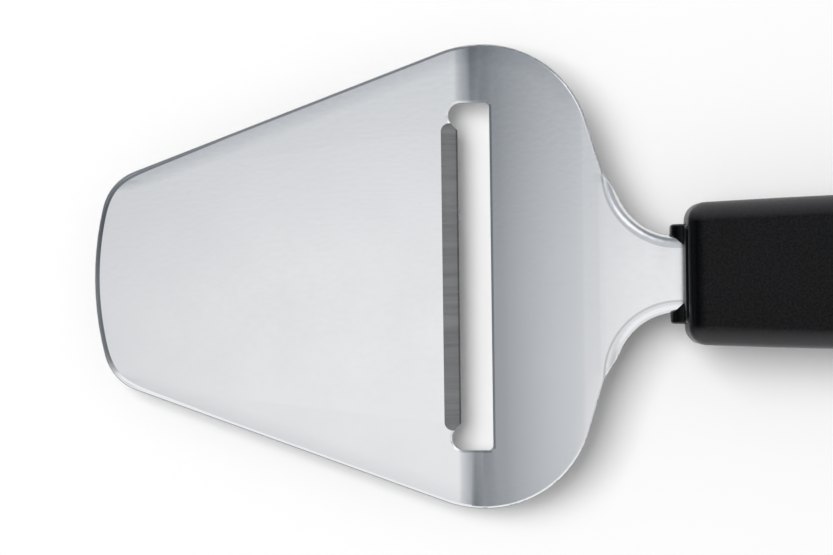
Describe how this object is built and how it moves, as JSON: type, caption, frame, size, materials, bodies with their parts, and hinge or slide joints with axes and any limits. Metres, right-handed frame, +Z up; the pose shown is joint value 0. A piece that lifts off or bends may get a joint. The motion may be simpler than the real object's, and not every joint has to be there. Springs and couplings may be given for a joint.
{
  "type": "cheese plane",
  "caption": "Cheese plane with a flat tapered steel blade plate, a ground slot across its rear, a risen neck with folded edges and a slim rounded black handle.",
  "frame": {"origin": "middle of the flat sole of the blade plate, on its underside", "axes": "+X along the tool from the nose towards the end of the handle, +Z up, away from the cheese"},
  "size_m": [0.2214, 0.0736, 0.0138],
  "materials": {
    "blade_steel": "satin, fine grain",
    "handle_plastic": "matt, fine grain"
  },
  "bodies": {
    "root": {"blade_plate": "blade_steel", "handle": "handle_plastic"}
  },
  "joints": []
}
